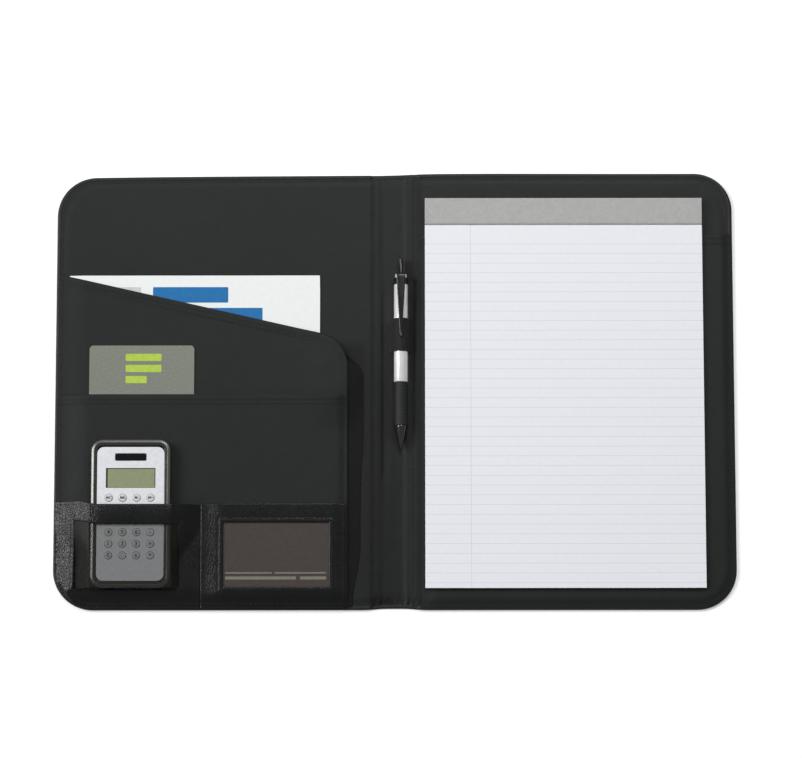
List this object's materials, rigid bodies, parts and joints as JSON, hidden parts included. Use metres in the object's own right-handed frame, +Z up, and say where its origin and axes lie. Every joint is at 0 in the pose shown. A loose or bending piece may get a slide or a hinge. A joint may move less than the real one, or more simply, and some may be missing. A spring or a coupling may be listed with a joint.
{
  "type": "conference folder",
  "caption": "Open zipless conference folder with sewn pockets, a ruled writing pad, a pen in an elastic loop and a pocket calculator.",
  "frame": {"origin": "middle of the open folder's outline, on the underside that rests on the table", "axes": "+X across the open folder from the pocket side to the pad side, +Y from the bottom edge to the top edge, +Z up"},
  "size_m": [0.512, 0.332, 0.0171],
  "materials": {
    "cover": "grained black synthetic leather",
    "board": "plain greyboard",
    "lining": "fine black woven nylon",
    "pocket": "fine black woven nylon",
    "pocket_frame": "satin black synthetic leather",
    "elastic": "black ribbed elastic",
    "window_film": "clear soft film",
    "brochure_card": "white coated card with plain blue bars",
    "silver_card": "brushed silver foil card",
    "badge_card": "matt brown-grey card",
    "pad_back": "plain greyboard",
    "paper": "white ruled paper",
    "pad_tape": "grey embossed binding tape",
    "pen_metal": "bright chromed metal",
    "pen_rubber": "matt black rubber",
    "pen_ink": "translucent refill tube",
    "spring_wire": "drawn steel wire",
    "calculator_body": "satin black plastic",
    "calculator_face": "fine brushed silver plate",
    "solar_cell": "dark cell under clear plastic",
    "display": "grey-green display",
    "circuit": "green circuit board",
    "key": "satin grey plastic"
  },
  "bodies": {
    "back_cover": {"back_skin": "cover", "back_board": "board", "back_lining": "lining", "pad_pocket": "pocket"},
    "spine": {"spine_skin": "cover", "spine_lining": "lining", "pen_loop": "elastic"},
    "front_cover": {"front_skin": "cover", "front_board": "board", "front_lining": "lining", "document_gusset": "pocket", "document_pocket": "pocket", "card_pocket": "pocket", "calculator_pocket": "pocket_frame", "badge_pocket": "pocket_frame", "badge_window": "window_film"},
    "pad": {"pad_backing": "pad_back", "pad_sheets": "paper", "pad_binding": "pad_tape"},
    "top_sheet": {"pad_top_sheet": "paper"},
    "pen": {"pen_barrel": "pen_metal", "pen_grip": "pen_rubber", "pen_tip": "pen_metal", "pen_clip": "pen_metal", "pen_spring": "spring_wire"},
    "pen_click": {"pen_button": "pen_metal", "pen_refill": "pen_ink"},
    "calculator": {"calculator_case": "calculator_body", "calculator_board": "circuit", "calculator_bezel": "calculator_body", "calculator_faceplate": "calculator_face", "calculator_solar_cell": "solar_cell", "calculator_display": "display"},
    "brochure": {"brochure": "brochure_card"},
    "business_card": {"business_card": "silver_card"},
    "badge_card": {"badge_card": "badge_card"},
    "key_r1_c1": {"calculator_key_r1_c1": "key"},
    "key_r1_c2": {"calculator_key_r1_c2": "key"},
    "key_r1_c3": {"calculator_key_r1_c3": "key"},
    "key_r1_c4": {"calculator_key_r1_c4": "key"},
    "key_r2_c1": {"calculator_key_r2_c1": "key"},
    "key_r2_c2": {"calculator_key_r2_c2": "key"},
    "key_r2_c3": {"calculator_key_r2_c3": "key"},
    "key_r2_c4": {"calculator_key_r2_c4": "key"},
    "key_r3_c1": {"calculator_key_r3_c1": "key"},
    "key_r3_c2": {"calculator_key_r3_c2": "key"},
    "key_r3_c3": {"calculator_key_r3_c3": "key"},
    "key_r3_c4": {"calculator_key_r3_c4": "key"},
    "key_r4_c1": {"calculator_key_r4_c1": "key"},
    "key_r4_c2": {"calculator_key_r4_c2": "key"},
    "key_r4_c3": {"calculator_key_r4_c3": "key"},
    "key_r4_c4": {"calculator_key_r4_c4": "key"},
    "key_r5_c1": {"calculator_key_r5_c1": "key"},
    "key_r5_c2": {"calculator_key_r5_c2": "key"},
    "key_r5_c3": {"calculator_key_r5_c3": "key"},
    "key_r5_c4": {"calculator_key_r5_c4": "key"},
    "key_r6_c1": {"calculator_key_r6_c1": "key"},
    "key_r6_c2": {"calculator_key_r6_c2": "key"},
    "key_r6_c3": {"calculator_key_r6_c3": "key"},
    "key_r6_c4": {"calculator_key_r6_c4": "key"}
  },
  "joints": [
    {"name": "spine_fold", "type": "hinge", "parent": "back_cover", "child": "spine", "pos_m": [0.018, 0, 0.0015], "axis": [0, -1, 0], "range_deg": [-90, 0]},
    {"name": "cover_fold", "type": "hinge", "parent": "spine", "child": "front_cover", "pos_m": [-0.018, 0, 0.0015], "axis": [0, -1, 0], "range_deg": [-93, 0]},
    {"name": "pad_slide", "type": "slide", "parent": "back_cover", "child": "pad", "axis": [0, 1, 0], "range_m": [0, 0.275]},
    {"name": "top_sheet_turn", "type": "hinge", "parent": "pad", "child": "top_sheet", "pos_m": [0.1278, 0.12645, 0.008], "axis": [-1, 0, 0], "range_deg": [0, 165]},
    {"name": "pen_slide", "type": "slide", "parent": "spine", "child": "pen", "axis": [0, 1, 0], "range_m": [0, 0.105]},
    {"name": "pen_click_slide", "type": "slide", "parent": "pen", "child": "pen_click", "axis": [0, 1, 0], "range_m": [-0.005, 0], "stiffness_N_per_m": 300, "springref_m": 0.002, "deforming": ["pen_spring"]},
    {"name": "calculator_slide", "type": "slide", "parent": "front_cover", "child": "calculator", "axis": [0, 1, 0], "range_m": [0, 0.07]},
    {"name": "brochure_slide", "type": "slide", "parent": "front_cover", "child": "brochure", "axis": [0, 1, 0], "range_m": [0, 0.24]},
    {"name": "business_card_slide", "type": "slide", "parent": "front_cover", "child": "business_card", "axis": [0, 1, 0], "range_m": [0, 0.02]},
    {"name": "badge_card_slide", "type": "slide", "parent": "front_cover", "child": "badge_card", "axis": [0, 1, 0], "range_m": [0, 0.07]},
    {"name": "key_r1_c1_press", "type": "slide", "parent": "calculator", "child": "key_r1_c1", "axis": [0, 0, 1], "range_m": [-0.0008, 0], "stiffness_N_per_m": 200, "springref_m": 0.0004},
    {"name": "key_r1_c2_press", "type": "slide", "parent": "calculator", "child": "key_r1_c2", "axis": [0, 0, 1], "range_m": [-0.0008, 0], "stiffness_N_per_m": 200, "springref_m": 0.0004},
    {"name": "key_r1_c3_press", "type": "slide", "parent": "calculator", "child": "key_r1_c3", "axis": [0, 0, 1], "range_m": [-0.0008, 0], "stiffness_N_per_m": 200, "springref_m": 0.0004},
    {"name": "key_r1_c4_press", "type": "slide", "parent": "calculator", "child": "key_r1_c4", "axis": [0, 0, 1], "range_m": [-0.0008, 0], "stiffness_N_per_m": 200, "springref_m": 0.0004},
    {"name": "key_r2_c1_press", "type": "slide", "parent": "calculator", "child": "key_r2_c1", "axis": [0, 0, 1], "range_m": [-0.0008, 0], "stiffness_N_per_m": 200, "springref_m": 0.0004},
    {"name": "key_r2_c2_press", "type": "slide", "parent": "calculator", "child": "key_r2_c2", "axis": [0, 0, 1], "range_m": [-0.0008, 0], "stiffness_N_per_m": 200, "springref_m": 0.0004},
    {"name": "key_r2_c3_press", "type": "slide", "parent": "calculator", "child": "key_r2_c3", "axis": [0, 0, 1], "range_m": [-0.0008, 0], "stiffness_N_per_m": 200, "springref_m": 0.0004},
    {"name": "key_r2_c4_press", "type": "slide", "parent": "calculator", "child": "key_r2_c4", "axis": [0, 0, 1], "range_m": [-0.0008, 0], "stiffness_N_per_m": 200, "springref_m": 0.0004},
    {"name": "key_r3_c1_press", "type": "slide", "parent": "calculator", "child": "key_r3_c1", "axis": [0, 0, 1], "range_m": [-0.0008, 0], "stiffness_N_per_m": 200, "springref_m": 0.0004},
    {"name": "key_r3_c2_press", "type": "slide", "parent": "calculator", "child": "key_r3_c2", "axis": [0, 0, 1], "range_m": [-0.0008, 0], "stiffness_N_per_m": 200, "springref_m": 0.0004},
    {"name": "key_r3_c3_press", "type": "slide", "parent": "calculator", "child": "key_r3_c3", "axis": [0, 0, 1], "range_m": [-0.0008, 0], "stiffness_N_per_m": 200, "springref_m": 0.0004},
    {"name": "key_r3_c4_press", "type": "slide", "parent": "calculator", "child": "key_r3_c4", "axis": [0, 0, 1], "range_m": [-0.0008, 0], "stiffness_N_per_m": 200, "springref_m": 0.0004},
    {"name": "key_r4_c1_press", "type": "slide", "parent": "calculator", "child": "key_r4_c1", "axis": [0, 0, 1], "range_m": [-0.0008, 0], "stiffness_N_per_m": 200, "springref_m": 0.0004},
    {"name": "key_r4_c2_press", "type": "slide", "parent": "calculator", "child": "key_r4_c2", "axis": [0, 0, 1], "range_m": [-0.0008, 0], "stiffness_N_per_m": 200, "springref_m": 0.0004},
    {"name": "key_r4_c3_press", "type": "slide", "parent": "calculator", "child": "key_r4_c3", "axis": [0, 0, 1], "range_m": [-0.0008, 0], "stiffness_N_per_m": 200, "springref_m": 0.0004},
    {"name": "key_r4_c4_press", "type": "slide", "parent": "calculator", "child": "key_r4_c4", "axis": [0, 0, 1], "range_m": [-0.0008, 0], "stiffness_N_per_m": 200, "springref_m": 0.0004},
    {"name": "key_r5_c1_press", "type": "slide", "parent": "calculator", "child": "key_r5_c1", "axis": [0, 0, 1], "range_m": [-0.0008, 0], "stiffness_N_per_m": 200, "springref_m": 0.0004},
    {"name": "key_r5_c2_press", "type": "slide", "parent": "calculator", "child": "key_r5_c2", "axis": [0, 0, 1], "range_m": [-0.0008, 0], "stiffness_N_per_m": 200, "springref_m": 0.0004},
    {"name": "key_r5_c3_press", "type": "slide", "parent": "calculator", "child": "key_r5_c3", "axis": [0, 0, 1], "range_m": [-0.0008, 0], "stiffness_N_per_m": 200, "springref_m": 0.0004},
    {"name": "key_r5_c4_press", "type": "slide", "parent": "calculator", "child": "key_r5_c4", "axis": [0, 0, 1], "range_m": [-0.0008, 0], "stiffness_N_per_m": 200, "springref_m": 0.0004},
    {"name": "key_r6_c1_press", "type": "slide", "parent": "calculator", "child": "key_r6_c1", "axis": [0, 0, 1], "range_m": [-0.0008, 0], "stiffness_N_per_m": 200, "springref_m": 0.0004},
    {"name": "key_r6_c2_press", "type": "slide", "parent": "calculator", "child": "key_r6_c2", "axis": [0, 0, 1], "range_m": [-0.0008, 0], "stiffness_N_per_m": 200, "springref_m": 0.0004},
    {"name": "key_r6_c3_press", "type": "slide", "parent": "calculator", "child": "key_r6_c3", "axis": [0, 0, 1], "range_m": [-0.0008, 0], "stiffness_N_per_m": 200, "springref_m": 0.0004},
    {"name": "key_r6_c4_press", "type": "slide", "parent": "calculator", "child": "key_r6_c4", "axis": [0, 0, 1], "range_m": [-0.0008, 0], "stiffness_N_per_m": 200, "springref_m": 0.0004}
  ]
}
